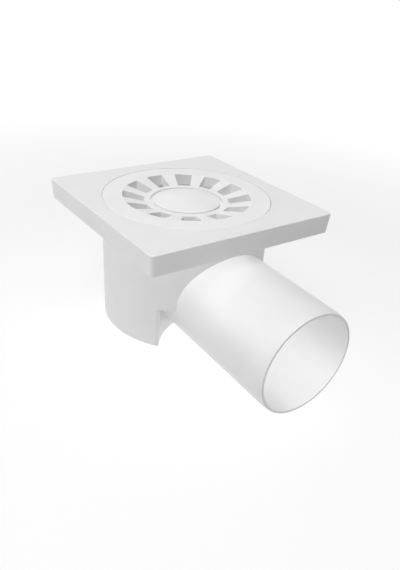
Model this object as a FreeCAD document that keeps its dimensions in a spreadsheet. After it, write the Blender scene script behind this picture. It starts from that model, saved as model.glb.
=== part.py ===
import FreeCAD, Part
import os
import re

import Sketcher
from FreeCAD import Vector

# Floor drain with a water seal: a square plate with a dished round grate, a round
# housing below it and a spigot that leaves the housing sideways with a slight fall.
# The origin is the centre of the plate's top face, +Z is up and +X runs along the
# outlet. Lengths are in millimetres, angles in degrees and depths count down from
# the plate's top face.

SIZES = {
    # Plate
    "plate_side": 100.0,
    "plate_depth": 9.8,
    "plate_draft": 3.5,
    "plate_corner": 2.0,
    "plate_edge_round": 0.4,
    "plate_deck": 3.0,
    "plate_skirt": 2.4,
    "rib_thickness": 1.6,
    "rib_offset": 24.0,
    "rib_rise": 1.8,
    # Round housing
    "housing_depth": 63.7,
    "housing_wall": 2.5,
    "housing_taper": 0.7,
    "sump_floor": 2.5,
    "foot_round": 1.0,
    "seat_depth": 9.0,
    "seat_wall": 2.5,
    "seat_ledge": 2.45,
    # Recess under the outlet, and the weir behind it
    "recess_depth": 42.3,
    "recess_centre": 46.4,
    "recess_radius": 36.3,
    "recess_cheek": 25.7,
    "weir_wall": 2.4,
    # Outlet spigot
    "outlet_radius": 24.95,
    "outlet_wall": 1.6,
    "outlet_reach": 93.5,
    "outlet_level": 39.1,
    "outlet_fall": 1.78,
    "outlet_land": 42.0,
    "outlet_swell": 0.3,
    "lead_in_length": 4.5,
    "lead_in_depth": 0.5,
    # Grate
    "grate_radius": 41.1,
    "grate_clearance": 0.25,
    "grate_height": 5.7,
    "grate_skin": 1.9,
    "grate_rim": 1.8,
    "grate_edge_round": 0.3,
    "dish_outer": 31.9,
    "dish_inner": 20.9,
    "dish_depth": 2.5,
    "slot_count": 12.0,
    "slot_outer": 31.5,
    "slot_angle": 17.0,
    "slot_wall": 1.4,
    "ring_inner": 17.9,
    "groove_width": 1.45,
    "groove_depth": 1.7,
    "dome_rise": 1.6,
    "hub_radius": 14.5,
    # Trap insert and its seal
    "seal_height": 1.5,
    "seal_width": 2.1,
    "seal_round": 0.4,
    "insert_wall": 1.8,
    "insert_clearance": 0.5,
    "funnel_depth": 11.5,
    "mouth_depth": 18.0,
    "tube_offset": 12.0,
    "tube_radius": 16.0,
    "tube_depth": 55.0,
}

document = FreeCAD.newDocument("gully_trap")
sheet = document.addObject("Spreadsheet::Sheet", "Sizes")
for row, (alias, size) in enumerate(SIZES.items(), start=1):
    sheet.set(f"A{row}", alias)
    sheet.set(f"B{row}", str(size))
    sheet.setAlias(f"B{row}", alias)
document.recompute()

WORD = re.compile(r"[a-z_]+")


def cell(word):
    """Name the cell of one matched word, or leave a function's name as it is."""
    return f"Sizes.{word.group()}" if word.group() in SIZES else word.group()


def bound(expression):
    """Point every size name in an expression at its cell of the sheet."""
    return WORD.sub(cell, expression)


def value_of(expression):
    """Work out an expression of size names as a plain number."""
    return float(sheet.evalExpression(bound(expression)))


def bind(item, **expressions):
    """Bind properties of an object to expressions of size names."""
    for name, expression in expressions.items():
        item.setExpression(name, bound(expression))


def place(item, x="0", z="0"):
    """Bind an object's place on the plane of symmetry."""
    item.setExpression(".Placement.Base.x", bound(x))
    item.setExpression(".Placement.Base.z", bound(z))


def cylinder(name, radius, height, **position):
    """Make an upright cylinder that stands at a place."""
    item = document.addObject("Part::Cylinder", name)
    bind(item, Radius=radius, Height=height)
    place(item, **position)
    return item


def cut(name, base, tool):
    """Take one solid away from another."""
    item = document.addObject("Part::Cut", name)
    item.Base = base
    item.Tool = tool
    return item


def fuse(name, *pieces):
    """Join solids to one and merge the faces that run on."""
    item = document.addObject("Part::MultiFuse", name)
    item.Shapes = list(pieces)
    item.Refine = True
    return item


def new_body(name):
    """Make an empty body that is named for its piece."""
    body = document.addObject("PartDesign::Body", name)
    body.Label = name
    return body


def new_sketch(body, name, role="XY_Plane", level="0"):
    """Attach a sketch to one of the body's own origin planes, at a level along its normal."""
    sketch = body.newObject("Sketcher::SketchObject", name)
    plane = next(plane for plane in body.Origin.OriginFeatures if plane.Role == role)
    sketch.AttachmentSupport = [(plane, "")]
    sketch.MapMode = "FlatFace"
    sketch.setExpression(".AttachmentOffset.Base.z", bound(level))
    return sketch


def hold(sketch, kind, edge, end, expression):
    """Hold one coordinate of an edge's end, or of its centre, by an expression."""
    index = sketch.addConstraint(Sketcher.Constraint(kind, -1, 1, edge, end, value_of(expression)))
    sketch.setExpression(f"Constraints[{index}]", bound(expression))


def outline(sketch, corners):
    """Draw a closed outline whose corners are held by expressions.

    A corner is (x, y), reached by a straight edge from the corner before it, or
    (x, y, centre_x), reached by the shorter arc about a centre at that x.
    """
    start, end, centre = 1, 2, 3
    places = [Vector(value_of(corner[0]), value_of(corner[1]), 0) for corner in corners]
    tails = []
    for number, corner in enumerate(corners):
        before, after = places[number - 1], places[number]
        if len(corner) == 2:
            edge = sketch.addGeometry(Part.LineSegment(before, after))
            hold(sketch, "DistanceX", edge, end, corner[0])
            hold(sketch, "DistanceY", edge, end, corner[1])
            tails.append((edge, start, end))
            continue
        middle_x = value_of(corner[2])
        spread = (after.x - middle_x) ** 2 - (before.x - middle_x) ** 2 + after.y ** 2 - before.y ** 2
        middle = Vector(middle_x, spread / (2 * (after.y - before.y)), 0)
        leftward = (before - middle).cross(after - middle).z > 0
        first, last = (before, after) if leftward else (after, before)
        circle = Part.Circle(middle, Vector(0, 0, 1), (before - middle).Length)
        arc = Part.ArcOfCircle(circle, circle.parameter(first), circle.parameter(last))
        edge = sketch.addGeometry(arc)
        ends = (start, end) if leftward else (end, start)
        hold(sketch, "DistanceX", edge, ends[1], corner[0])
        hold(sketch, "DistanceY", edge, ends[1], corner[1])
        hold(sketch, "DistanceX", edge, centre, corner[2])
        tails.append((edge, *ends))
    for number, (edge, head, _) in enumerate(tails):
        previous, _, tail = tails[number - 1]
        sketch.addConstraint(Sketcher.Constraint("Coincident", previous, tail, edge, head))


def circle(sketch, radius, x="0"):
    """Draw a circle with its centre on the plane of symmetry."""
    ring = Part.Circle(Vector(value_of(x), 0, 0), Vector(0, 0, 1), value_of(radius))
    edge = sketch.addGeometry(ring)
    index = sketch.addConstraint(Sketcher.Constraint("Radius", edge, value_of(radius)))
    sketch.setExpression(f"Constraints[{index}]", bound(radius))
    hold(sketch, "DistanceX", edge, 3, x)
    hold(sketch, "DistanceY", edge, 3, "0")


def revolve(body, name, corners):
    """Turn a profile in the XZ plane once about the Z axis."""
    sketch = new_sketch(body, f"{name}_profile", "XZ_Plane")
    outline(sketch, corners)
    turned = body.newObject("PartDesign::Revolution", name)
    turned.Profile = sketch
    turned.ReferenceAxis = (sketch, ["V_Axis"])
    turned.Angle = 360
    return turned


def extrude(body, kind, name, sketch, length, upward=False):
    """Pad or pocket a horizontal sketch, down or up by a length."""
    feature = body.newObject(f"PartDesign::{kind}", name)
    feature.Profile = sketch
    bind(feature, Length=length)
    feature.Reversed = upward == (kind == "Pocket")
    return feature


def around(body, name, feature, count):
    """Repeat a feature evenly round the Z axis."""
    pattern = body.newObject("PartDesign::PolarPattern", name)
    pattern.Originals = [feature]
    pattern.Axis = (feature.Profile[0], ["N_Axis"])
    pattern.Angle = 360
    bind(pattern, Occurrences=count)
    body.Tip = pattern
    return pattern


def round_edges(body, name, base, radius, chosen):
    """Round the edges of a feature that a test picks."""
    document.recompute()
    edges = [f"Edge{number}" for number, edge in enumerate(base.Shape.Edges, start=1) if chosen(edge)]
    fillet = body.newObject("PartDesign::Fillet", name)
    fillet.Base = (base, edges)
    bind(fillet, Radius=radius)
    return fillet


def rectangle(half_x, half_y):
    """Give the corners of a rectangle about the origin."""
    return [(f"-({half_x})", f"-({half_y})"), (half_x, f"-({half_y})"), (half_x, half_y), (f"-({half_x})", half_y)]


# Plate: a shallow tray, open below, with a boss round the grate's seat and ribs from
# the boss to the skirt.

SEAT_RADIUS = "grate_radius + grate_clearance"
BOSS_RADIUS = f"{SEAT_RADIUS} + seat_wall"
NECK_RADIUS = f"({SEAT_RADIUS} - seat_ledge + housing_wall)"
FOOT_RADIUS = f"({NECK_RADIUS} - housing_taper)"


def is_upright(edge):
    """Tell whether an edge climbs from the plate's underside to its top."""
    return edge.BoundBox.ZLength > value_of("plate_depth / 2")


def is_on_top(edge):
    """Tell whether an edge lies in the plate's top face."""
    tolerance = 1e-6
    return abs(edge.BoundBox.ZMin) < tolerance and abs(edge.BoundBox.ZMax) < tolerance


def make_plate():
    """Model the plate with its skirt, boss and ribs."""
    body = new_body("plate_form")
    top = new_sketch(body, "plate_outline")
    outline(top, rectangle("plate_side / 2", "plate_side / 2"))
    slab = extrude(body, "Pad", "plate_slab", top, "plate_depth")
    bind(slab, TaperAngle="-plate_draft")
    corners = round_edges(body, "plate_corners", slab, "plate_corner", is_upright)
    round_edges(body, "plate_edge", corners, "plate_edge_round", is_on_top)

    inside = new_sketch(body, "tray_outline", level="-plate_depth")
    inner_side = "plate_side / 2 - plate_skirt"
    outline(inside, rectangle(inner_side, inner_side))
    extrude(body, "Pocket", "tray", inside, "plate_depth - plate_deck", upward=True)
    boss_outline = new_sketch(body, "boss_outline", level="-plate_deck")
    circle(boss_outline, BOSS_RADIUS)
    extrude(body, "Pad", "boss", boss_outline, "plate_depth - plate_deck")

    rib_outline = new_sketch(body, "rib_outline", level="-plate_deck")
    far = "plate_side / 2 - plate_skirt / 2"
    near = f"sqrt(pow({BOSS_RADIUS} - seat_wall / 2; 2) - pow(rib_offset; 2))"
    low = "rib_offset - rib_thickness / 2"
    high = "rib_offset + rib_thickness / 2"
    outline(rib_outline, [(near, low), (far, low), (far, high), (near, high)])
    outline(rib_outline, [(near, f"-({high})"), (far, f"-({high})"), (far, f"-({low})"), (near, f"-({low})")])
    ribs = extrude(body, "Pad", "side_ribs", rib_outline, "plate_depth - plate_deck - rib_rise")
    around(body, "ribs", ribs, "4")
    return body


# Round housing: a drafted cup with a rounded foot, recessed below the outlet so that
# a curved weir stands behind the recess.

def make_cup():
    """Model the cup as a solid, with the recess cut into its lower front."""
    body = new_body("cup_form")
    top = "(plate_depth - plate_deck)"
    revolve(body, "cup", [
        ("0", f"-{top}"),
        ("0", "-housing_depth"),
        (f"{FOOT_RADIUS} - foot_round", "-housing_depth"),
        (FOOT_RADIUS, "foot_round - housing_depth", f"{FOOT_RADIUS} - foot_round"),
        (NECK_RADIUS, f"-{top}"),
    ])
    recess_outline = new_sketch(body, "recess_outline", level="-recess_depth")
    cheek = "sqrt(pow(recess_radius; 2) - pow(recess_centre - recess_cheek; 2))"
    beyond = f"2 * {NECK_RADIUS}"
    outline(recess_outline, [
        ("recess_cheek", f"-({cheek})"),
        ("recess_cheek", cheek, "recess_centre"),
        ("recess_cheek", beyond),
        (beyond, beyond),
        (beyond, f"-({beyond})"),
        ("recess_cheek", f"-({beyond})"),
    ])
    extrude(body, "Pocket", "recess", recess_outline, "housing_depth")
    return body


# Outlet: a spigot that swells a little towards its root, with a straight land for a
# pipe's socket and a rounded lead-in. It is turned upright and then laid down to its fall.

OUTLET_LENGTH = "outlet_reach / cos(outlet_fall * 1 deg)"


def lay_down(item):
    """Turn an upright solid towards the outlet and tip it by the outlet's fall."""
    item.Placement.Rotation.Axis = Vector(0, 1, 0)
    item.setExpression(".Placement.Rotation.Angle", bound("90 + outlet_fall"))
    place(item, z="-outlet_level")


def make_spigot():
    """Model the spigot as a solid bar with its land and lead-in."""
    body = new_body("spigot_form")
    lead_in_arc = "(pow(lead_in_length; 2) + pow(lead_in_depth; 2)) / (2 * lead_in_depth)"
    revolve(body, "spigot", [
        ("0", "0"),
        ("outlet_radius + outlet_swell", "0"),
        ("outlet_radius", f"{OUTLET_LENGTH} - lead_in_length - outlet_land"),
        ("outlet_radius", f"{OUTLET_LENGTH} - lead_in_length"),
        ("outlet_radius - lead_in_depth", OUTLET_LENGTH, f"outlet_radius - {lead_in_arc}"),
        ("0", OUTLET_LENGTH),
    ])
    lay_down(body)
    return body


def behind_weir(name, wall, level):
    """Make the block below a level that lies behind a face of the weir.

    The face stands back from the recess by a share of the weir's wall.
    """
    block = document.addObject("Part::Box", f"{name}_block")
    bind(block, Length=f"2 * {NECK_RADIUS} + recess_centre", Width=f"4 * {NECK_RADIUS}", Height="2 * housing_depth")
    place(block, x=f"-2 * {NECK_RADIUS}", z=f"-2 * housing_depth - ({level})")
    block.setExpression(".Placement.Base.y", bound(f"-2 * {NECK_RADIUS}"))
    front = cylinder(f"{name}_front", f"recess_radius + {wall}", "3 * housing_depth",
                     x="recess_centre", z="-3 * housing_depth")
    return cut(name, block, front)


def make_housing():
    """Join plate, cup and spigot, then open the seat, the water space and the bore."""
    weir_top = "recess_depth - weir_wall"
    spigot_stop = behind_weir("spigot_stop", "weir_wall / 2", f"{weir_top} + weir_wall / 2")
    spigot = cut("spigot_root", make_spigot(), spigot_stop)
    shell = fuse("housing_shell", make_plate(), make_cup(), spigot)

    seat = cylinder("seat_space", SEAT_RADIUS, "2 * seat_depth", z="-seat_depth")
    cup_space = document.addObject("Part::Cone", "cup_space")
    bind(cup_space, Radius1=f"{FOOT_RADIUS} - housing_wall", Radius2=f"{NECK_RADIUS} - housing_wall",
         Height="housing_depth - sump_floor - seat_depth / 2")
    place(cup_space, z="sump_floor - housing_depth")
    weir = cylinder("weir_block", "recess_radius + weir_wall", "2 * housing_depth",
                    x="recess_centre", z=f"-2 * housing_depth - ({weir_top})")
    water_space = cut("water_space", cup_space, weir)

    bore = cylinder("bore_form", "outlet_radius - outlet_wall", "2 * outlet_reach")
    lay_down(bore)
    bore_space = cut("bore_space", bore, behind_weir("bore_stop", "0", weir_top))

    return cut("housing", shell, fuse("housing_spaces", seat, water_space, bore_space))


# Grate: a dished disc with radial slots round a ring, a groove and a domed centre.

def make_grate():
    """Turn the grate's disc, cut its slots and rib its rim."""
    body = new_body("grate")
    chimney = "slot_outer + slot_wall"
    rim = "grate_radius - grate_rim"
    disc = "ring_inner - groove_width"
    revolve(body, "disc", [
        ("0", "dome_rise - dish_depth", "0"),
        ("0", "dome_rise - dish_depth - grate_skin"),
        ("hub_radius", "-dish_depth - grate_skin", "0"),
        ("hub_radius", "-grate_height"),
        (chimney, "-grate_height"),
        (chimney, "-grate_skin"),
        (rim, "-grate_skin"),
        (rim, "-grate_height"),
        ("grate_radius", "-grate_height"),
        ("grate_radius", "-grate_edge_round"),
        ("grate_radius - grate_edge_round", "0", "grate_radius - grate_edge_round"),
        ("dish_outer", "0"),
        ("dish_inner", "-dish_depth"),
        ("ring_inner", "-dish_depth"),
        ("ring_inner", "-dish_depth - groove_depth"),
        (disc, "-dish_depth - groove_depth"),
        (disc, "-dish_depth"),
    ])

    slot_outline = new_sketch(body, "slot_outline")
    across = "cos(slot_angle / 2 * 1 deg)"
    along = "sin(slot_angle / 2 * 1 deg)"
    outline(slot_outline, [
        (f"dish_inner * {across}", f"-dish_inner * {along}", "0"),
        (f"slot_outer * {across}", f"-slot_outer * {along}"),
        (f"slot_outer * {across}", f"slot_outer * {along}", "0"),
        (f"dish_inner * {across}", f"dish_inner * {along}"),
    ])
    slot = extrude(body, "Pocket", "slot", slot_outline, "2 * grate_height")
    around(body, "slots", slot, "slot_count")

    rib_outline = new_sketch(body, "rim_rib_outline", level="-grate_height")
    near = f"{chimney} - slot_wall / 2"
    far = f"{rim} + grate_rim / 2"
    half = "slot_wall / 2"
    outline(rib_outline, [(near, f"-{half}"), (far, f"-{half}"), (far, half), (near, half)])
    rib = extrude(body, "Pad", "rim_rib", rib_outline, "grate_height - grate_skin / 2", upward=True)
    around(body, "rim_ribs", rib, "slot_count")
    return body


# Trap insert: a flange that lies on the seal, a funnel that falls to one side and a
# tube that dips below the weir's top, so that standing water closes the way.

def make_insert():
    """Model the insert's outside first, then open it from the top to the tube's end."""
    body = new_body("trap_insert")
    collar = f"{NECK_RADIUS} - housing_wall - insert_clearance"
    centre = "-tube_offset"

    def round_sketch(name, radius, level, x="0"):
        """Draw one circle at a level, with its centre on the plane of symmetry."""
        sketch = new_sketch(body, name, level=level)
        circle(sketch, radius, x)
        return sketch

    flange = round_sketch("flange_outline", "grate_radius", "-grate_height")
    extrude(body, "Pad", "flange", flange, "seat_depth - seal_height - grate_height")
    collar_outline = round_sketch("collar_outline", collar, "-grate_height")
    extrude(body, "Pad", "collar", collar_outline, "funnel_depth - grate_height")
    funnel = body.newObject("PartDesign::AdditiveLoft", "funnel")
    funnel.Profile = round_sketch("funnel_top", collar, "-funnel_depth")
    funnel.Sections = [round_sketch("funnel_foot", "tube_radius", "-mouth_depth", centre)]
    tube = round_sketch("tube_outline", "tube_radius", "-mouth_depth", centre)
    extrude(body, "Pad", "tube", tube, "tube_depth - mouth_depth")

    inner_collar = f"{collar} - insert_wall"
    basin = round_sketch("basin_outline", inner_collar, "-grate_height")
    extrude(body, "Pocket", "basin", basin, "funnel_depth - insert_wall - grate_height")
    hollow = body.newObject("PartDesign::SubtractiveLoft", "funnel_hollow")
    hollow.Profile = round_sketch("hollow_top", inner_collar, "insert_wall - funnel_depth")
    hollow.Sections = [round_sketch("hollow_foot", "tube_radius - insert_wall", "insert_wall - mouth_depth", centre)]
    bore = round_sketch("bore_outline", "tube_radius - insert_wall", "insert_wall - mouth_depth", centre)
    extrude(body, "Pocket", "tube_bore", bore, "tube_depth")
    return body


def make_seal():
    """Turn the rubber ring that lies between the seat and the insert's flange."""
    body = new_body("seal_ring")
    ring = revolve(body, "seal", [
        ("grate_radius - seal_width", "-seat_depth"),
        ("grate_radius", "-seat_depth"),
        ("grate_radius", "seal_height - seat_depth"),
        ("grate_radius - seal_width", "seal_height - seat_depth"),
    ])
    round_edges(body, "seal_edges", ring, "seal_round", lambda edge: True)
    return body


pieces = [make_housing(), make_grate(), make_insert(), make_seal()]
document.recompute()

for item in document.Objects:
    if "Invalid" in item.State or "Error" in item.State:
        raise RuntimeError(f"{item.Name} failed: {item.State}")
for piece in pieces:
    if piece.Shape.isNull() or not piece.Shape.isValid() or len(piece.Shape.Solids) != 1:
        raise RuntimeError(f"{piece.Label} is not one valid solid")

os.makedirs("parts", exist_ok=True)
for piece in pieces:
    piece.Shape.exportStep(f"parts/{piece.Label}.step")
    print(piece.Label, round(piece.Shape.Volume / 1000, 2), "cm3")
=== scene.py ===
import logging
import math
from dataclasses import dataclass
from enum import Enum

import bmesh
import bpy
from mathutils import Matrix, Vector


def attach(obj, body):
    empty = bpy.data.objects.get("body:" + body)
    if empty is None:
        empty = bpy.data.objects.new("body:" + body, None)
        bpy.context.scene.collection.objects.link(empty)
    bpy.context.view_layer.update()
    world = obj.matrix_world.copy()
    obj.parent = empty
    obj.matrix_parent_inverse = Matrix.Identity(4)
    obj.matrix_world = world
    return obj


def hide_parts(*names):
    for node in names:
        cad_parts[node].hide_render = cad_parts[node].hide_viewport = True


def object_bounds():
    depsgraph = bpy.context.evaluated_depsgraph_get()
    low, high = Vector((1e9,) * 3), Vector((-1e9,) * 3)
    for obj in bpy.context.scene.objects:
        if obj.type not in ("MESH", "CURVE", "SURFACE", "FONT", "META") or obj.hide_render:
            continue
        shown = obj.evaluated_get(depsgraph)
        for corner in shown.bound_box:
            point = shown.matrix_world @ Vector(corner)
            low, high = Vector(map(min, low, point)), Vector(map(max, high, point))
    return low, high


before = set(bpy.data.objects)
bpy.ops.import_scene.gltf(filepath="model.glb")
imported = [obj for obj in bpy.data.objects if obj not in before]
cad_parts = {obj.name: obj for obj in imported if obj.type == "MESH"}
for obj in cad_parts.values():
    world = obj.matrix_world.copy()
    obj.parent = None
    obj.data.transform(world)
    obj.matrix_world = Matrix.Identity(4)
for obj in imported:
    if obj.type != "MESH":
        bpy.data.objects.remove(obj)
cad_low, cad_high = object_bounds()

# A white floor gully: a square plate with a dished round grate, a round cup below it
# and a pipe spigot to one side. Sizes are in millimetres and angles in degrees, and
# they become metres and radians where a mesh, a node or a lamp is made.

log = logging.getLogger("gully")

MM = 0.001
HALF_TURN = 180
ROOT = "root"
WHITE = "#FFFFFF"

# The sRGB curve: a straight run up to its knee, and a shifted power above it.
SRGB_KNEE = 0.04045
SRGB_SLOPE = 12.92
SRGB_SHIFT = 0.055
SRGB_POWER = 2.4

# A finish's deep and light colours stand at these values of its cloud noise.
DEEP_AT = 0.3
LIGHT_AT = 0.7

# How much finer detail each noise has beside its main features.
CLOUD_DETAIL = 3.0
GLOSS_DETAIL = 2.0
WAVE_DETAIL = 0.0

# How many patches of gloss go across one colour cloud.
PATCHES_PER_CLOUD = 3

# Red, green and blue light wander equally far inside the plastic.
EVEN_WANDER = (1.0, 1.0, 1.0)

Point = tuple[float, float]
Colour = tuple[float, float, float, float]
Columns = list[list[bmesh.types.BMVert]]
Spans = dict[str, range]


class Grain(Enum):
    """How a surface was left by its mould."""

    POLISHED = "polished"
    SATIN = "satin"
    MATT = "matt"


# The grain's finer detail is least where the mould was polished.
GRAIN_DETAIL = {Grain.POLISHED: 0.0, Grain.SATIN: 1.0, Grain.MATT: 3.0}


def linear(code: str) -> Colour:
    """Turn an sRGB hex colour to a linear one.

    Args:
        code: The colour as "#RRGGBB".

    Returns:
        The linear red, green, blue and an alpha of 1.
    """
    parts = [int(code[place:place + 2], 16) / 255 for place in (1, 3, 5)]
    values = [part / SRGB_SLOPE if part <= SRGB_KNEE else
              ((part + SRGB_SHIFT) / (1 + SRGB_SHIFT)) ** SRGB_POWER for part in parts]
    return (*values, 1.0)


# What an emission or a background needs to show as plain white.
PLAIN_WHITE = {"Color": linear(WHITE), "Strength": 1.0}


def per_metre(size: float) -> float:
    """Give a texture's scale for a feature of a real size in millimetres."""
    return 1 / (size * MM)


def empty_tree(owner: bpy.types.Material | bpy.types.World) -> bpy.types.NodeTree:
    """Give a material or a world an empty node tree.

    Args:
        owner: The material or the world.

    Returns:
        Its node tree, without nodes.
    """
    owner.use_nodes = True
    owner.node_tree.nodes.clear()
    return owner.node_tree


def add_node(tree: bpy.types.NodeTree, kind: str, settings: dict | None = None,
             links: dict | None = None) -> bpy.types.Node:
    """Add a node with its settings and links.

    Args:
        tree: The node tree that gets the node.
        kind: The node's type name.
        settings: Values by the name of an attribute, or by the name or number of an input.
        links: Output sockets by the name or number of the input that each feeds.

    Returns:
        The new node.
    """
    node = tree.nodes.new(kind)
    for name, value in (settings or {}).items():
        if isinstance(name, str) and hasattr(node, name):
            setattr(node, name, value)
        else:
            node.inputs[name].default_value = value
    for name, source in (links or {}).items():
        tree.links.new(source, node.inputs[name])
    return node


@dataclass(frozen=True)
class MouldedFinish:
    """A moulded material, with soft clouding, uneven gloss and the mould's grain.

    Args:
        name: The material's name.
        light: Its colour where it is lightest.
        deep: Its colour where it is deepest.
        cloud_size: Width of the soft colour clouds in millimetres.
        sheen_low: Roughness where it is glossiest.
        sheen_high: Roughness where it is dullest.
        grain: How the mould left the surface.
        grain_size: Width of the mould's grain in millimetres.
        grain_depth: Height of the grain in millimetres.
        wave_size: Width of the shrinkage waves in millimetres.
        wave_depth: Height of the shrinkage waves in millimetres.
        ior: Index of refraction.
        milkiness: The share of light that wanders inside the wall before it leaves.
        wander: How far it wanders, in millimetres.
    """

    name: str
    light: str
    deep: str
    cloud_size: float
    sheen_low: float
    sheen_high: float
    grain: Grain
    grain_size: float
    grain_depth: float
    wave_size: float
    wave_depth: float
    ior: float
    milkiness: float = 0.0
    wander: float = 1.0

    def build(self) -> bpy.types.Material:
        """Build the material with its nodes.

        Returns:
            The material.
        """
        material = bpy.data.materials.new(self.name)
        tree = empty_tree(material)
        place = add_node(tree, "ShaderNodeTexCoord").outputs["Object"]
        clouds = self.noise(tree, place, self.cloud_size, CLOUD_DETAIL)
        colour = add_node(tree, "ShaderNodeValToRGB", links={"Fac": clouds})
        stops = ((DEEP_AT, self.deep), (LIGHT_AT, self.light))
        for stop, (position, code) in zip(colour.color_ramp.elements, stops):
            stop.position = position
            stop.color = linear(code)
        patches = self.noise(tree, place, self.cloud_size / PATCHES_PER_CLOUD, GLOSS_DETAIL)
        gloss = add_node(tree, "ShaderNodeMapRange",
                         {"To Min": self.sheen_low, "To Max": self.sheen_high}, {"Value": patches})
        waves = add_node(tree, "ShaderNodeBump", {"Distance": self.wave_depth * MM},
                         {"Height": self.noise(tree, place, self.wave_size, WAVE_DETAIL)})
        pits = self.noise(tree, place, self.grain_size, GRAIN_DETAIL[self.grain])
        grain = add_node(tree, "ShaderNodeBump", {"Distance": self.grain_depth * MM},
                         {"Height": pits, "Normal": waves.outputs["Normal"]})
        shader = add_node(tree, "ShaderNodeBsdfPrincipled",
                          {"IOR": self.ior, "Subsurface Weight": self.milkiness,
                           "Subsurface Radius": EVEN_WANDER, "Subsurface Scale": self.wander * MM},
                          {"Base Color": colour.outputs["Color"], "Roughness": gloss.outputs["Result"],
                           "Normal": grain.outputs["Normal"]})
        add_node(tree, "ShaderNodeOutputMaterial", links={"Surface": shader.outputs["BSDF"]})
        return material

    def noise(self, tree: bpy.types.NodeTree, place: bpy.types.NodeSocket, size: float,
              detail: float) -> bpy.types.NodeSocket:
        """Add a noise of a real size.

        Args:
            tree: The material's node tree.
            place: The coordinates that the noise reads.
            size: The width of its features in millimetres.
            detail: How much finer detail it has.

        Returns:
            The noise's plain output.
        """
        node = add_node(tree, "ShaderNodeTexNoise", {"Scale": per_metre(size), "Detail": detail},
                        {"Vector": place})
        return node.outputs["Fac"]


# Polypropylene from a polished mould: clean white, a soft satin gloss and faint waves
# where the wall has shrunk, which break up the reflections on the flats.
PLATE_PLASTIC = MouldedFinish(
    name="moulded_polypropylene_white", light="#E9E9E9", deep="#E5E5E5", cloud_size=22.0,
    sheen_low=0.34, sheen_high=0.42, grain=Grain.POLISHED, grain_size=0.9, grain_depth=0.004,
    wave_size=14.0, wave_depth=0.02, ior=1.49, milkiness=0.15, wander=1.0)

# The same plastic on the grate, from a finer mould, so its disc and spokes read a
# little smoother and brighter than the plate.
GRATE_PLASTIC = MouldedFinish(
    name="moulded_polypropylene_grate", light="#EDEDED", deep="#E9E9E9", cloud_size=16.0,
    sheen_low=0.32, sheen_high=0.40, grain=Grain.POLISHED, grain_size=0.8, grain_depth=0.003,
    wave_size=10.0, wave_depth=0.015, ior=1.49, milkiness=0.15, wander=1.0)

# The removable insert comes from a plainer mould, so it is duller than the grate over
# it and a shade greyer.
INSERT_PLASTIC = MouldedFinish(
    name="moulded_polypropylene_insert", light="#EBEBEA", deep="#E5E5E4", cloud_size=18.0,
    sheen_low=0.42, sheen_high=0.50, grain=Grain.SATIN, grain_size=0.6, grain_depth=0.006,
    wave_size=12.0, wave_depth=0.03, ior=1.49, milkiness=0.15, wander=1.0)

# Rubber pressed in a matt mould: near black, dull and finely pitted.
SEAL_RUBBER = MouldedFinish(
    name="pressed_rubber_black", light="#2B2B2C", deep="#202021", cloud_size=5.0,
    sheen_low=0.62, sheen_high=0.75, grain=Grain.MATT, grain_size=0.35, grain_depth=0.02,
    wave_size=6.0, wave_depth=0.02, ior=1.52)


@dataclass(frozen=True)
class EdgeFinish:
    """How the edges of a piece are rounded and its flats kept flat.

    Args:
        radius: Width of the rounding in millimetres, or 0 for none. Where a mesh has very
            short edges, no rounding on it comes out wider than they allow.
        least_turn: The smallest turn of a surface that counts as an edge, in degrees.
        steps: How many faces make one rounding.
    """

    radius: float
    least_turn: float = 50.0
    steps: int = 3

    def apply(self, piece: bpy.types.Object) -> None:
        """Add the rounding, and normals that follow the largest faces.

        Args:
            piece: The piece that gets them.
        """
        if self.radius:
            rounding = piece.modifiers.new("edge_rounding", "BEVEL")
            rounding.width = self.radius * MM
            rounding.segments = self.steps
            rounding.limit_method = "ANGLE"
            rounding.angle_limit = math.radians(self.least_turn)
            rounding.use_clamp_overlap = True
        normals = piece.modifiers.new("flat_faces", "WEIGHTED_NORMAL")
        normals.keep_sharp = True


def bake(piece: bpy.types.Object) -> None:
    """Make a piece's modifiers part of its mesh and remove them.

    Args:
        piece: The piece.
    """
    graph = bpy.context.evaluated_depsgraph_get()
    mesh = bpy.data.meshes.new_from_object(piece.evaluated_get(graph), depsgraph=graph)
    piece.modifiers.clear()
    piece.data = mesh
    mesh.name = piece.name


def new_piece(name: str, mesh: bpy.types.Mesh) -> bpy.types.Object:
    """Link a new object at the origin.

    Args:
        name: The object's name.
        mesh: The mesh that it shows.

    Returns:
        The object.
    """
    piece = bpy.data.objects.new(name, mesh)
    bpy.context.scene.collection.objects.link(piece)
    return piece


def settle(piece: bpy.types.Object, node: str) -> None:
    """Let a piece ride on the body and stand for its node.

    Args:
        piece: The piece.
        node: The node that it stands for.
    """
    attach(piece, ROOT)
    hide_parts(node)


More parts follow.
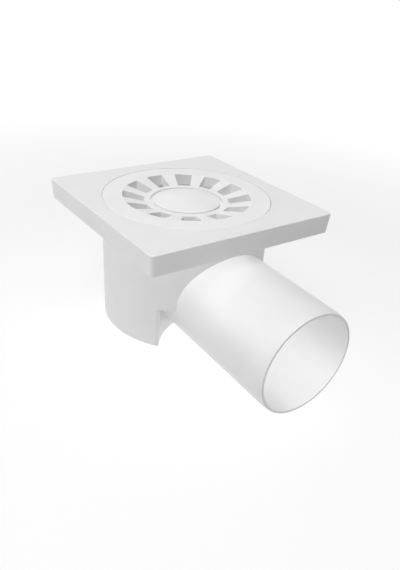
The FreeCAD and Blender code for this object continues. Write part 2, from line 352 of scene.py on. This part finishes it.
@dataclass
class ShellPiece:
    """A piece that keeps its solid's own form, with its facets joined and edges rounded.

    Args:
        node: The node that holds the solid.
        finish: The material that it gets.
        edges: How its edges are rounded.
        weld: The distance under which two corners are one, in millimetres.
        flat_turn: The turn under which two facets are one flat, in degrees.
    """

    node: str
    finish: MouldedFinish
    edges: EdgeFinish
    weld: float = 0.001
    flat_turn: float = 0.05

    def mesh(self) -> bpy.types.Mesh:
        """Copy the solid's facets and join those that lie in one flat.

        Returns:
            The new mesh, without materials.
        """
        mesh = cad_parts[self.node].data.copy()
        mesh.materials.clear()
        shape = bmesh.new()
        shape.from_mesh(mesh)
        bmesh.ops.remove_doubles(shape, verts=shape.verts, dist=self.weld * MM)
        bmesh.ops.dissolve_limit(shape, angle_limit=math.radians(self.flat_turn), verts=shape.verts,
                                 edges=shape.edges, use_dissolve_boundaries=False)
        for face in shape.faces:
            face.smooth = True
        shape.to_mesh(mesh)
        shape.free()
        if mesh.has_custom_normals:
            mesh.attributes.remove(mesh.attributes["custom_normal"])
        return mesh

    def build(self) -> bpy.types.Object:
        """Build the piece, dress it and settle it on its body.

        Returns:
            The piece.
        """
        piece = new_piece(f"{self.node}_moulded", self.mesh())
        self.edges.apply(piece)
        bake(piece)
        piece.data.materials.append(self.finish.build())
        settle(piece, self.node)
        return piece


@dataclass
class RoundRepeat:
    """A node tree that repeats a sector round the Z axis, welds it and dresses it.

    Args:
        count: How many sectors make the round.
        weld: The distance under which two corners are one, in millimetres.
    """

    count: int
    weld: float = 0.002

    def tree(self) -> bpy.types.NodeTree:
        """Build the tree, with named inputs for the count, the weld and the material.

        Returns:
            The tree.
        """
        tree = bpy.data.node_groups.new("repeat_round_axis", "GeometryNodeTree")
        sockets = (("Geometry", "INPUT", "NodeSocketGeometry"), ("Count", "INPUT", "NodeSocketInt"),
                   ("Weld", "INPUT", "NodeSocketFloat"), ("Material", "INPUT", "NodeSocketMaterial"),
                   ("Geometry", "OUTPUT", "NodeSocketGeometry"))
        for name, way, kind in sockets:
            tree.interface.new_socket(name, in_out=way, socket_type=kind)
        given = add_node(tree, "NodeGroupInput").outputs
        places = add_node(tree, "GeometryNodeMeshLine", {"Offset": (0.0, 0.0, 0.0)},
                          {"Count": given["Count"]})
        step = add_node(tree, "ShaderNodeMath", {"operation": "DIVIDE", 0: math.tau},
                        {1: given["Count"]})
        turn = add_node(tree, "ShaderNodeMath", {"operation": "MULTIPLY"},
                        {0: add_node(tree, "GeometryNodeInputIndex").outputs[0], 1: step.outputs[0]})
        turned = add_node(tree, "ShaderNodeCombineXYZ", links={"Z": turn.outputs[0]})
        rotation = add_node(tree, "FunctionNodeEulerToRotation", links={"Euler": turned.outputs[0]})
        copies = add_node(tree, "GeometryNodeInstanceOnPoints",
                          links={"Points": places.outputs["Mesh"], "Instance": given["Geometry"],
                                 "Rotation": rotation.outputs[0]})
        real = add_node(tree, "GeometryNodeRealizeInstances",
                        links={"Geometry": copies.outputs["Instances"]})
        welded = add_node(tree, "GeometryNodeMergeByDistance",
                          links={"Geometry": real.outputs[0], "Distance": given["Weld"]})
        dressed = add_node(tree, "GeometryNodeSetMaterial",
                           links={"Geometry": welded.outputs[0], "Material": given["Material"]})
        add_node(tree, "NodeGroupOutput", links={"Geometry": dressed.outputs[0]})
        return tree

    def apply(self, piece: bpy.types.Object, material: bpy.types.Material) -> None:
        """Repeat a piece's sector and give the whole round a material.

        Args:
            piece: The piece that holds the sector.
            material: The material that the round gets.
        """
        modifier = piece.modifiers.new("round", "NODES")
        modifier.node_group = self.tree()
        values = {"Count": self.count, "Weld": self.weld * MM, "Material": material}
        for item in modifier.node_group.interface.items_tree:
            if item.in_out == "INPUT" and item.name in values:
                modifier[item.identifier] = values[item.name]


@dataclass(frozen=True)
class Corner:
    """A corner of a turned profile.

    Args:
        radius: Its distance from the axis.
        height: Its height.
        rounding: The radius of its rounding, or 0 for a sharp corner.
    """

    radius: float
    height: float
    rounding: float = 0.0


def rounded(before: Corner, corner: Corner, after: Corner, steps: int) -> list[Point]:
    """Round one corner of a profile.

    Args:
        before: The corner before it.
        corner: The corner itself.
        after: The corner after it.
        steps: How many straight runs make the rounding.

    Returns:
        The points that take the corner's place.
    """
    here = Vector((corner.radius, corner.height))
    if corner.rounding == 0:
        return [tuple(here)]
    back = (Vector((before.radius, before.height)) - here).normalized()
    on = (Vector((after.radius, after.height)) - here).normalized()
    half = back.angle(on) / 2
    reach = corner.rounding / math.tan(half)
    centre = here + (back + on).normalized() * (corner.rounding / math.sin(half))
    start, end = here + back * reach - centre, here + on * reach - centre
    sweep = start.angle_signed(end)
    return [tuple(centre + Matrix.Rotation(-sweep * step / steps, 2) @ start) for step in range(steps + 1)]


@dataclass
class Grate:
    """The dished grate: a domed disc, a groove, a ring, twelve slots and a flat rim.

    Args:
        node: The node that it stands for.
        finish: The material that it gets.
        edges: How its edges are rounded.
        radius: The grate's radius.
        height: Its height, from its foot to its rim.
        skin: The thickness of its top.
        rim: The thickness of the wall round its edge.
        rim_round: The rounding of the rim's top edge.
        dish_outer: The radius at which the dish starts.
        dish_inner: The radius at which the dish's slope ends.
        dish_depth: How far the dish's floor lies below the rim.
        dish_round: The rounding between the rim and the dish.
        slot_count: How many slots it has.
        slot_outer: The radius of the slots' outer ends.
        slot_angle: The angle that one slot takes up.
        slot_wall: The thickness of the wall outside the slots.
        ring_inner: The inner radius of the ring round the groove.
        ring_round: The rounding of the ring's inner edge.
        disc_round: The rounding of the disc's edge.
        disc_border: The width of the disc's last straight run, on which that rounding starts.
        groove_width: The width of the groove between the disc and the ring.
        groove_depth: How deep the groove is.
        dome_rise: How far the disc rises towards its centre.
        hub_radius: The radius of the hollow under the disc.
        rib_half_angle: Half the angle that the rib outside each slot takes up.
        dome_steps: How many straight runs divide a dome from its axis to its edge.
        slot_steps: How many faces make a slot's side wall.
        round_steps: How many straight runs make a rounding.
        spoke_cells: How many faces go across half a spoke.
        slot_cells: How many faces go across a slot's end, from its side to the rib.
        rib_cells: How many faces go across the rib.
    """

    node: str = "grate"
    finish: MouldedFinish = GRATE_PLASTIC
    edges: EdgeFinish = EdgeFinish(radius=0.22)
    radius: float = 41.1
    height: float = 5.7
    skin: float = 1.9
    rim: float = 1.8
    rim_round: float = 0.3
    dish_outer: float = 31.9
    dish_inner: float = 20.9
    dish_depth: float = 2.5
    dish_round: float = 1.6
    slot_count: int = 12
    slot_outer: float = 31.5
    slot_angle: float = 17.0
    slot_wall: float = 1.4
    ring_inner: float = 17.9
    ring_round: float = 0.1
    disc_round: float = 0.35
    disc_border: float = 1.0
    groove_width: float = 1.45
    groove_depth: float = 1.7
    dome_rise: float = 1.6
    hub_radius: float = 14.5
    rib_half_angle: float = 1.1
    dome_steps: int = 12
    slot_steps: int = 6
    round_steps: int = 4
    spoke_cells: int = 3
    slot_cells: int = 3
    rib_cells: int = 1

    def dome_height(self, spot: float, radius: float, low: float) -> float:
        """Give the height of a shallow dome at some distance from its axis.

        Args:
            spot: The distance from the axis.
            radius: The radius of the dome's edge.
            low: The height of its edge.

        Returns:
            The dome's height there.
        """
        ball = (radius ** 2 + self.dome_rise ** 2) / (2 * self.dome_rise)
        return low + self.dome_rise - ball + math.sqrt(ball ** 2 - spot ** 2)

    def dome(self, radius: float, low: float) -> list[Point]:
        """Give the points of a shallow dome from the axis to its edge.

        Args:
            radius: The radius of the dome's edge.
            low: The height of its edge.

        Returns:
            Points from the axis to just before the edge.
        """
        spots = [radius * step / self.dome_steps for step in range(self.dome_steps)]
        return [(spot, self.dome_height(spot, radius, low)) for spot in spots]

    def slot_radii(self) -> list[float]:
        """Give the radii at which the slots' side walls are divided."""
        reach = self.slot_outer - self.dish_inner
        return [self.dish_inner + reach * step / self.slot_steps for step in range(self.slot_steps + 1)]

    def chain(self, corners: list[Corner]) -> list[Point]:
        """Round the corners of a profile.

        Args:
            corners: The corners in order. The first and the last only give directions.

        Returns:
            The points of all corners but those two.
        """
        points: list[Point] = []
        for before, corner, after in zip(corners, corners[1:], corners[2:]):
            points += rounded(before, corner, after, self.round_steps)
        return points

    def profile(self) -> dict[str, list[Point]]:
        """Give the turned profile, from the top's centre to the underside's.

        Returns:
            The points of each stretch of the profile by its name, in order.
        """
        disc = self.ring_inner - self.groove_width
        dish = -self.dish_depth
        floor = dish - self.groove_depth
        ceiling = dish - self.skin
        chimney = self.slot_outer + self.slot_wall
        inner = self.radius - self.rim
        foot = -self.height
        slope = self.dish_depth / (self.dish_outer - self.dish_inner)
        border = disc - self.disc_border
        border_height = self.dome_height(border, disc, dish)
        centre = [spot for spot in self.dome(disc, dish) if spot[0] < border]
        centre.append((border, border_height))
        centre += self.chain([
            Corner(border, border_height), Corner(disc, dish, self.disc_round),
            Corner(disc, floor), Corner(self.ring_inner, floor),
            Corner(self.ring_inner, dish, self.ring_round), Corner(self.dish_inner, dish)])
        top = [(spot, dish + slope * (spot - self.dish_inner)) for spot in self.slot_radii()]
        rim = self.chain([
            Corner(*top[-1]), Corner(self.dish_outer, 0, self.dish_round),
            Corner(self.radius, 0, self.rim_round), Corner(self.radius, foot), Corner(inner, foot)])
        channel = [(inner, foot), (inner, -self.skin), (chimney, -self.skin), (chimney, foot)]
        under = [(spot, foot) for spot in reversed(self.slot_radii())]
        hub = [(self.hub_radius, foot), (self.hub_radius, ceiling)]
        hub += reversed(self.dome(self.hub_radius, ceiling))
        return {"centre": centre, "top": top, "rim": rim, "channel": channel, "under": under, "hub": hub}

    def angles(self) -> list[float]:
        """Give the angles that divide one sector.

        Returns:
            The angles in order, with the slot's and the rib's sides among them.
        """
        half_sector = HALF_TURN / self.slot_count
        half_slot = self.slot_angle / 2
        half_rib = self.rib_half_angle
        marks = [-half_sector, -half_slot, -half_rib, half_rib, half_slot, half_sector]
        cells = [self.spoke_cells, self.slot_cells, self.rib_cells, self.slot_cells, self.spoke_cells]
        angles = [marks[0]]
        for low, high, count in zip(marks, marks[1:], cells):
            angles += [low + (high - low) * step / count for step in range(1, count)] + [high]
        return angles

    def sector(self) -> bpy.types.Mesh:
        """Build one sector, with half a spoke on each side of its slot.

        Returns:
            The sector's mesh.
        """
        points: list[Point] = []
        span: Spans = {}
        for name, stretch in self.profile().items():
            span[name] = range(len(points), len(points) + len(stretch))
            points += stretch
        angles = self.angles()
        shape = bmesh.new()
        columns: Columns = []
        for number, angle in enumerate(angles):
            turn = math.radians(angle)
            columns.append([
                columns[0][row] if number and spot == 0 else
                shape.verts.new((spot * math.cos(turn) * MM, spot * math.sin(turn) * MM, level * MM))
                for row, (spot, level) in enumerate(points)])
        self.skin_faces(shape, columns, angles, span)
        self.slot_walls(shape, columns, angles, span)
        self.rim_rib(shape, columns, angles, span)
        # No face uses the corners in the slot's opening.
        loose = [corner for corner in shape.verts if not corner.link_faces]
        bmesh.ops.delete(shape, geom=loose, context="VERTS")
        for face in shape.faces:
            face.smooth = True
        mesh = bpy.data.meshes.new("grate_sector")
        shape.to_mesh(mesh)
        shape.free()
        return mesh

    def inside(self, angles: list[float], cell: int, half_angle: float) -> bool:
        """Tell whether a cell between two angles lies within a half angle of the slot's middle."""
        return abs(angles[cell] + angles[cell + 1]) / 2 < half_angle

    def skin_faces(self, shape: bmesh.types.BMesh, columns: Columns, angles: list[float],
                   span: Spans) -> None:
        """Make the turned surface, open at the slot and at the rib.

        Args:
            shape: The mesh under construction.
            columns: Its corners, by angle and then by point of the profile.
            angles: The angles of the columns.
            span: The rows of each stretch of the profile.
        """
        slotted = set(span["top"][:-1]) | set(span["under"][:-1])
        ribbed = set(span["channel"][:-1])
        for cell in range(len(angles) - 1):
            left, right = columns[cell], columns[cell + 1]
            for row in range(len(left) - 1):
                if row in slotted and self.inside(angles, cell, self.slot_angle / 2):
                    continue
                if row in ribbed and self.inside(angles, cell, self.rib_half_angle):
                    continue
                corners = [left[row], left[row + 1], right[row + 1], right[row]]
                shape.faces.new(list(dict.fromkeys(corners)))

    def slot_walls(self, shape: bmesh.types.BMesh, columns: Columns, angles: list[float],
                   span: Spans) -> None:
        """Make the four walls of the slot, from the top's opening to the underside's.

        Args:
            shape: The mesh under construction.
            columns: Its corners, by angle and then by point of the profile.
            angles: The angles of the columns.
            span: The rows of each stretch of the profile.
        """
        top, under = list(span["top"]), list(reversed(span["under"]))
        for side in (-1, 1):
            column = columns[angles.index(side * self.slot_angle / 2)]
            for near, far, near_low, far_low in zip(top, top[1:], under, under[1:]):
                corners = [column[near], column[far], column[far_low], column[near_low]]
                shape.faces.new(corners[::-side])
        for cell in range(len(angles) - 1):
            if self.inside(angles, cell, self.slot_angle / 2):
                left, right = columns[cell], columns[cell + 1]
                for end, way in ((0, -1), (-1, 1)):
                    corners = [left[top[end]], right[top[end]], right[under[end]], left[under[end]]]
                    shape.faces.new(corners[::way])

    def rim_rib(self, shape: bmesh.types.BMesh, columns: Columns, angles: list[float],
                span: Spans) -> None:
        """Make the rib that stiffens the rim from below.

        Args:
            shape: The mesh under construction.
            columns: Its corners, by angle and then by point of the profile.
            angles: The angles of the columns.
            span: The rows of each stretch of the profile.
        """
        first, last = span["channel"][0], span["channel"][-1]
        for cell in range(len(angles) - 1):
            if self.inside(angles, cell, self.rib_half_angle):
                left, right = columns[cell], columns[cell + 1]
                shape.faces.new([left[first], left[last], right[last], right[first]])
        for side in (-1, 1):
            column = columns[angles.index(side * self.rib_half_angle)]
            shape.faces.new([column[row] for row in span["channel"]][::-side])

    def build(self) -> bpy.types.Object:
        """Build the grate from its sector, dress it and settle it on its body.

        Returns:
            The grate.
        """
        piece = new_piece("grate_moulded", self.sector())
        RoundRepeat(self.slot_count).apply(piece, self.finish.build())
        self.edges.apply(piece)
        bake(piece)
        settle(piece, self.node)
        return piece


class Stop(Enum):
    """Which pieces stop a lamp's light."""

    ALL = "all"
    INSIDE = "inside"
    NONE = "none"


@dataclass(frozen=True)
class SoftLamp:
    """A large square lamp that shines on the object from one side.

    Args:
        name: The lamp's name.
        azimuth: Where it stands, in degrees from +X towards +Y.
        elevation: How high it stands, in degrees above the floor.
        power: Its power in watts.
        stop: Which pieces stop its light.
    """

    name: str
    azimuth: float
    elevation: float
    power: float
    stop: Stop = Stop.ALL

    def way(self) -> Vector:
        """Give the direction in which it stands.

        Returns:
            A vector of length 1 from the object towards the lamp.
        """
        azimuth, elevation = math.radians(self.azimuth), math.radians(self.elevation)
        flat = math.cos(elevation)
        return Vector((math.cos(azimuth) * flat, math.sin(azimuth) * flat, math.sin(elevation)))

    def hang(self, aim: Vector, distance: float, side: float, screens: bpy.types.Collection) -> None:
        """Hang it in the scene.

        Args:
            aim: The point it shines at, in metres.
            distance: How far off it is, in millimetres.
            side: Its side in millimetres.
            screens: The pieces inside the housing.
        """
        lamp = bpy.data.lights.new(self.name, "AREA")
        lamp.size = side * MM
        lamp.energy = self.power
        lamp.use_shadow = self.stop is not Stop.NONE
        # A ray that leaves a surface is stopped by the object even on its way to a fill lamp,
        # so a fill lamp is only sampled from its own side and is as strong in the shade.
        lamp.cycles.use_multiple_importance_sampling = self.stop is Stop.ALL
        holder = bpy.data.objects.new(self.name, lamp)
        if self.stop is Stop.INSIDE:
            holder.light_linking.blocker_collection = screens
        holder.location = aim + self.way() * distance * MM
        holder.rotation_mode = "QUATERNION"
        holder.rotation_quaternion = (-self.way()).to_track_quat("-Z", "Y")
        bpy.context.scene.collection.objects.link(holder)


# Every piece stops the first two lamps, so they cast the object's shadow on the floor. The
# grate and the insert alone stop the next two, so the cup seen through the slots is darker
# than the grate. Nothing stops the last two, so the shade under the plate and in the bore
# stays about as light as it is in the picture.
LAMPS = (
    SoftLamp("lamp_overhead", azimuth=0, elevation=85, power=1.23),
    SoftLamp("lamp_front", azimuth=300, elevation=60, power=0.91),
    SoftLamp("fill_left", azimuth=250, elevation=50, power=1.82, stop=Stop.INSIDE),
    SoftLamp("fill_right", azimuth=320, elevation=50, power=2.67, stop=Stop.INSIDE),
    SoftLamp("fill_overhead", azimuth=0, elevation=80, power=2.87, stop=Stop.NONE),
    SoftLamp("fill_low_left", azimuth=240, elevation=20, power=1.82, stop=Stop.NONE),
)


@dataclass
class Studio:
    """The plain pale floor, the soft light and the camera.

    Args:
        floor_side: The floor's side in millimetres.
        floor_tone: The floor's colour.
        floor_glow: The share of plain white that the camera sees in the floor near the object.
        floor_fade: The distances from the frame's origin between which that share grows to
            all, in millimetres, so the floor beyond the lamps' reach is white too.
        sky_tone: The colour of the light from all round.
        sky_strength: The strength of the light from all round.
        lamps: The soft lamps.
        lamp_aim: The point they shine at, in millimetres.
        lamp_distance: How far off they are, in millimetres.
        lamp_side: Each lamp's side in millimetres.
        eye: The camera's place in millimetres.
        heading: The way it looks, in degrees from +Y towards -X.
        pitch: How far it looks down, in degrees.
        roll: How far it is rolled, in degrees.
        focal_share: The lens's focal length as a share of the frame's long side, both in pixels.
        sensor: The sensor's width in millimetres.
        sight: The nearest and the furthest distance that it sees, in millimetres.
    """

    floor_side: float = 20000.0
    floor_tone: str = "#E9E9E9"
    floor_glow: float = 0.5
    floor_fade: tuple[float, float] = (180.0, 420.0)
    sky_tone: str = WHITE
    sky_strength: float = 0.10
    lamps: tuple[SoftLamp, ...] = LAMPS
    lamp_aim: tuple[float, float, float] = (15.0, 0.0, -30.0)
    lamp_distance: float = 1000.0
    lamp_side: float = 600.0
    eye: tuple[float, float, float] = (218.30, -152.77, 99.72)
    heading: float = 52.94
    pitch: float = 29.34
    roll: float = 4.314
    focal_share: float = 572.5 / 570
    sensor: float = 36.0
    sight: tuple[float, float] = (10.0, 100000.0)

    def seen(self, tree: bpy.types.NodeTree) -> bpy.types.NodeSocket:
        """Tell whether a point is seen straight, in gloss or through glass.

        Args:
            tree: The node tree that asks.

        Returns:
            A socket that gives 1 where it is, and 0 elsewhere.
        """
        path = add_node(tree, "ShaderNodeLightPath").outputs
        gloss = add_node(tree, "ShaderNodeMath", {"operation": "MAXIMUM"},
                         {0: path["Is Camera Ray"], 1: path["Is Glossy Ray"]})
        either = add_node(tree, "ShaderNodeMath", {"operation": "MAXIMUM"},
                          {0: gloss.outputs[0], 1: path["Is Transmission Ray"]})
        return either.outputs[0]

    def floor_paint(self) -> bpy.types.Material:
        """Build the floor's material, which is lighter to the camera than to the object.

        Returns:
            The material.
        """
        material = bpy.data.materials.new("painted_floor_white")
        tree = empty_tree(material)
        lit = add_node(tree, "ShaderNodeBsdfDiffuse", {"Color": linear(self.floor_tone)})
        white = add_node(tree, "ShaderNodeBsdfDiffuse", {"Color": linear(WHITE)})
        glow = add_node(tree, "ShaderNodeEmission", PLAIN_WHITE)
        place = add_node(tree, "ShaderNodeTexCoord").outputs["Object"]
        away = add_node(tree, "ShaderNodeVectorMath", {"operation": "LENGTH"}, {0: place})
        near, far = (reach * MM for reach in self.floor_fade)
        share = add_node(tree, "ShaderNodeMapRange",
                         {"From Min": near, "From Max": far, "To Min": self.floor_glow, "To Max": 1.0},
                         {"Value": away.outputs["Value"]})
        shown = add_node(tree, "ShaderNodeMixShader",
                         links={0: share.outputs["Result"], 1: white.outputs[0], 2: glow.outputs[0]})
        whole = add_node(tree, "ShaderNodeMixShader",
                         links={0: self.seen(tree), 1: lit.outputs[0], 2: shown.outputs[0]})
        add_node(tree, "ShaderNodeOutputMaterial", links={"Surface": whole.outputs[0]})
        return material

    def floor(self, level: float) -> None:
        """Lay the floor under the object.

        Args:
            level: The height of the object's lowest point, in metres.
        """
        half = self.floor_side / 2 * MM
        corners = [(-half, -half, level), (half, -half, level), (half, half, level), (-half, half, level)]
        mesh = bpy.data.meshes.new("studio_floor")
        mesh.from_pydata(corners, [], [(0, 1, 2, 3)])
        mesh.materials.append(self.floor_paint())
        floor = new_piece("studio_floor", mesh)

    def sky(self) -> None:
        """Light the scene softly from all round, before a white background."""
        world = bpy.data.worlds.new("studio_sky")
        bpy.context.scene.world = world
        tree = empty_tree(world)
        soft = add_node(tree, "ShaderNodeBackground",
                        {"Color": linear(self.sky_tone), "Strength": self.sky_strength})
        white = add_node(tree, "ShaderNodeBackground", PLAIN_WHITE)
        whole = add_node(tree, "ShaderNodeMixShader",
                         links={0: self.seen(tree), 1: soft.outputs[0], 2: white.outputs[0]})
        add_node(tree, "ShaderNodeOutputWorld", links={"Surface": whole.outputs[0]})

    def camera(self) -> None:
        """Set the camera where the picture was taken."""
        heading, pitch, roll = map(math.radians, (self.heading, self.pitch, self.roll))
        ahead = Vector((-math.sin(heading) * math.cos(pitch), math.cos(heading) * math.cos(pitch),
                        -math.sin(pitch)))
        level = Vector((math.cos(heading), math.sin(heading), 0))
        over = level.cross(ahead)
        right = math.cos(roll) * level + math.sin(roll) * over
        upward = -math.sin(roll) * level + math.cos(roll) * over
        data = bpy.data.cameras.new("picture_camera")
        data.sensor_width = self.sensor
        data.lens = self.sensor * self.focal_share
        data.clip_start, data.clip_end = (reach * MM for reach in self.sight)
        camera = bpy.data.objects.new("picture_camera", data)
        turn = Matrix((right, upward, -ahead)).transposed()
        camera.matrix_world = Matrix.Translation(Vector(self.eye) * MM) @ turn.to_4x4()
        bpy.context.scene.collection.objects.link(camera)
        bpy.context.scene.camera = camera

    def build(self, level: float, inside: list[bpy.types.Object]) -> None:
        """Set up the whole studio.

        Args:
            level: The height of the object's lowest point, in metres.
            inside: The pieces that lie inside the housing.
        """
        self.floor(level)
        self.sky()
        screens = bpy.data.collections.new("fill_lamp_screens")
        for piece in inside:
            screens.objects.link(piece)
        for lamp in self.lamps:
            lamp.hang(Vector(self.lamp_aim) * MM, self.lamp_distance, self.lamp_side, screens)
        self.camera()
        bpy.context.scene.view_settings.view_transform = "Standard"


def main() -> None:
    """Build every piece in order, then the studio."""
    logging.basicConfig(level=logging.INFO, format="%(name)s: %(message)s")
    # The housing's facets have edges as short as 0.013 mm, so it gets next to no rounding.
    # The thin faces that the rounding leaves along its edges keep their shading crisp.
    pieces = [
        ShellPiece("housing", PLATE_PLASTIC, EdgeFinish(radius=0.2)),
        Grate(),
        ShellPiece("trap_insert", INSERT_PLASTIC, EdgeFinish(radius=0.2)),
        ShellPiece("seal_ring", SEAL_RUBBER, EdgeFinish(radius=0)),
    ]
    made = {piece.node: piece.build() for piece in pieces}
    for dressed in made.values():
        log.info("%s has %d faces", dressed.name, len(dressed.data.polygons))
    Studio().build(cad_low.z, [made["grate"], made["trap_insert"]])


if __name__ == "__main__":
    main()
